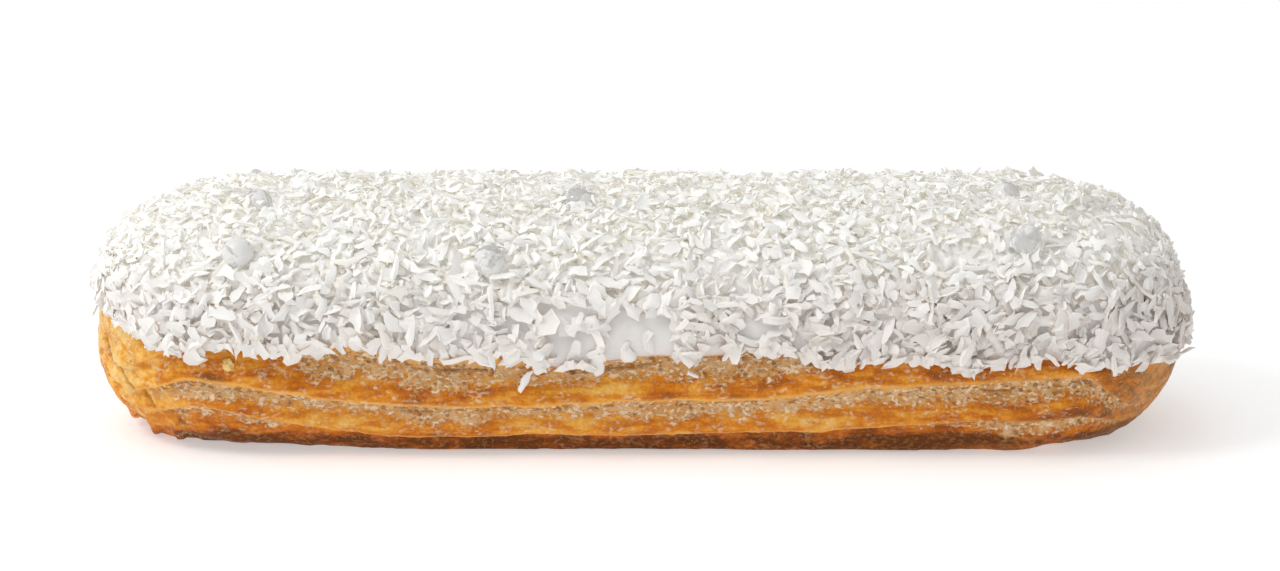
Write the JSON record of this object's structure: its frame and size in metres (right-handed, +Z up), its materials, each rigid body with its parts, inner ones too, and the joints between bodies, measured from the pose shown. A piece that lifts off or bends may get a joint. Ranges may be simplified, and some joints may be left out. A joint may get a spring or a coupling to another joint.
{
  "type": "eclair",
  "caption": "Long choux pastry bar with piped ridges, its top dipped in white icing and covered in coconut flakes and clear sugar pearls.",
  "frame": {"origin": "middle of the flat base", "axes": "+X along the bar to the right, +Z up, -Y towards the front"},
  "size_m": [0.141, 0.0454, 0.0334],
  "materials": {
    "choux": "baked crust, golden brown with glossy ridges",
    "coconut": "dry white coconut flakes",
    "icing": "smooth white icing",
    "pearl": "clear sugar pearl"
  },
  "bodies": {
    "root": {"choux": "choux", "coconut_icing": "coconut"}
  },
  "joints": []
}
